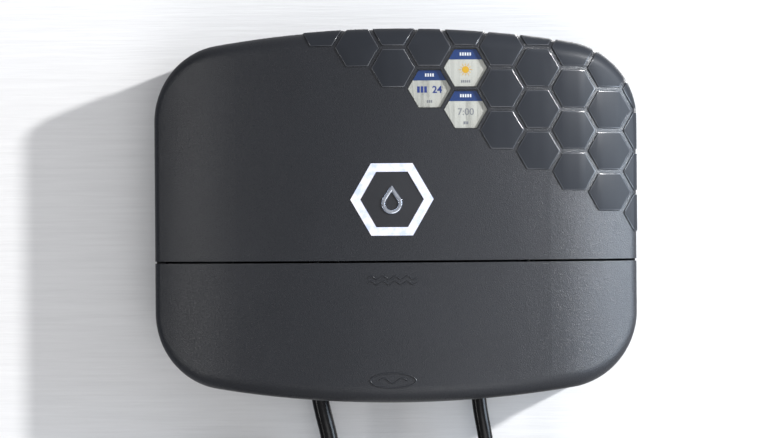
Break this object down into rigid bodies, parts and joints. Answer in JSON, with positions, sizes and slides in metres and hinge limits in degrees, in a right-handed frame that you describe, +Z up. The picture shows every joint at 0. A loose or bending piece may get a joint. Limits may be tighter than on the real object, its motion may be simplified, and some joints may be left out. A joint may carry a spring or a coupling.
{
  "type": "irrigation controller",
  "caption": "Wall-mounted irrigation controller with a curved clamshell case, lit hexagonal push button, hexagonal displays, hinged wiring door, mains cord and valve cable.",
  "frame": {"origin": "centre of the back face, which lies against the wall", "axes": "+X to the right seen from the front, +Y into the wall, +Z up; the front faces -Y"},
  "size_m": [0.2906, 0.0726, 0.3528],
  "materials": {
    "housing_shell": "fine spark-eroded texture",
    "cover_shell": "fine spark-eroded texture",
    "tile_skin": "satin",
    "seal_rubber": "matt",
    "steel": "plated",
    "screw_zinc": "zinc plated",
    "black_nylon": "satin",
    "lens_clear": "clear polycarbonate",
    "display_face": "display",
    "circuit_board": "solder mask",
    "light_guide": "diffusing acrylic, lit",
    "led_white": "lit",
    "button_gloss": "satin",
    "emblem_chrome": "polished",
    "black_part": "moulded",
    "can_aluminium": "sleeved can",
    "fuse_glass": "clear",
    "fuse_brass": "plated",
    "core_steel": "varnished laminations",
    "coil_tape": "winding tape",
    "panel_grey": "moulded",
    "terminal_green": "moulded",
    "lever_orange": "moulded",
    "wire_sheath": "vinyl sheath",
    "ribbon_grey": "vinyl",
    "connector_ivory": "moulded",
    "cord_black": "satin vinyl jacket",
    "plug_black": "moulded vinyl",
    "tie_black": "hook and loop strap",
    "conductor_colour": "vinyl sheath"
  },
  "bodies": {
    "case": {"rear_housing": "housing_shell", "upper_cover": "cover_shell", "tile_relief": "tile_skin", "rim_gasket": "seal_rubber", "hinge_pin": "steel", "lever_axle": "steel", "transformer_bracket": "steel", "wireless_module": "steel", "housing_screws": "screw_zinc", "board_screws": "screw_zinc", "conduit_plug": "black_nylon", "power_gland": "black_nylon", "valve_gland": "black_nylon", "display_frame": "black_nylon", "display_lenses": "lens_clear", "display_panel_weather": "display_face", "display_panel_date": "display_face", "display_panel_time": "display_face", "display_board": "circuit_board", "ring_board": "circuit_board", "main_board": "circuit_board", "light_ring": "light_guide", "ring_leds": "led_white", "button_switch": "black_part", "surge_varistors": "black_part", "processor_chip": "black_part", "station_triacs": "black_part", "filter_capacitors": "can_aluminium", "glass_fuse": "fuse_glass", "fuse_clips": "fuse_brass", "plug_blades": "fuse_brass", "transformer_core": "core_steel", "transformer_coil": "coil_tape", "terminal_panel": "panel_grey", "terminal_block": "terminal_green", "station_wires": "wire_sheath", "mains_wires": "wire_sheath", "board_ribbons": "ribbon_grey", "ribbon_connectors": "connector_ivory", "power_cord_lead": "cord_black", "power_cord_coil": "cord_black", "power_cord_tail": "cord_black", "valve_cable_lead": "cord_black", "valve_cable_coil": "cord_black", "valve_cable_tail": "cord_black", "power_plug": "plug_black", "power_cord_tie": "tie_black", "valve_cable_tie": "tie_black", "valve_conductors": "conductor_colour"},
    "door": {"wiring_door": "cover_shell"},
    "button": {"hex_button": "button_gloss", "button_emblem": "emblem_chrome"},
    "lever_1": {"terminal_lever_1": "lever_orange"},
    "lever_2": {"terminal_lever_2": "lever_orange"},
    "lever_3": {"terminal_lever_3": "lever_orange"},
    "lever_4": {"terminal_lever_4": "lever_orange"},
    "lever_5": {"terminal_lever_5": "lever_orange"},
    "lever_6": {"terminal_lever_6": "lever_orange"},
    "lever_7": {"terminal_lever_7": "lever_orange"},
    "lever_8": {"terminal_lever_8": "lever_orange"}
  },
  "joints": [
    {"name": "door_hinge", "type": "hinge", "parent": "case", "child": "door", "pos_m": [0, -0.036, -0.098], "axis": [1, 0, 0], "range_deg": [0, 90]},
    {"name": "button_press", "type": "slide", "parent": "case", "child": "button", "axis": [0, 1, 0], "range_m": [0, 0.0008], "stiffness_N_per_m": 1500, "springref_m": -0.0006},
    {"name": "lever_1_lift", "type": "hinge", "parent": "case", "child": "lever_1", "pos_m": [-0.0315, -0.0348, -0.0422], "axis": [-1, 0, 0], "range_deg": [0, 75]},
    {"name": "lever_2_lift", "type": "hinge", "parent": "case", "child": "lever_2", "pos_m": [-0.0225, -0.0348, -0.0422], "axis": [-1, 0, 0], "range_deg": [0, 75]},
    {"name": "lever_3_lift", "type": "hinge", "parent": "case", "child": "lever_3", "pos_m": [-0.0135, -0.0348, -0.0422], "axis": [-1, 0, 0], "range_deg": [0, 75]},
    {"name": "lever_4_lift", "type": "hinge", "parent": "case", "child": "lever_4", "pos_m": [-0.0045, -0.0348, -0.0422], "axis": [-1, 0, 0], "range_deg": [0, 75]},
    {"name": "lever_5_lift", "type": "hinge", "parent": "case", "child": "lever_5", "pos_m": [0.0045, -0.0348, -0.0422], "axis": [-1, 0, 0], "range_deg": [0, 75]},
    {"name": "lever_6_lift", "type": "hinge", "parent": "case", "child": "lever_6", "pos_m": [0.0135, -0.0348, -0.0422], "axis": [-1, 0, 0], "range_deg": [0, 75]},
    {"name": "lever_7_lift", "type": "hinge", "parent": "case", "child": "lever_7", "pos_m": [0.0225, -0.0348, -0.0422], "axis": [-1, 0, 0], "range_deg": [0, 75]},
    {"name": "lever_8_lift", "type": "hinge", "parent": "case", "child": "lever_8", "pos_m": [0.0315, -0.0348, -0.0422], "axis": [-1, 0, 0], "range_deg": [0, 75]}
  ]
}
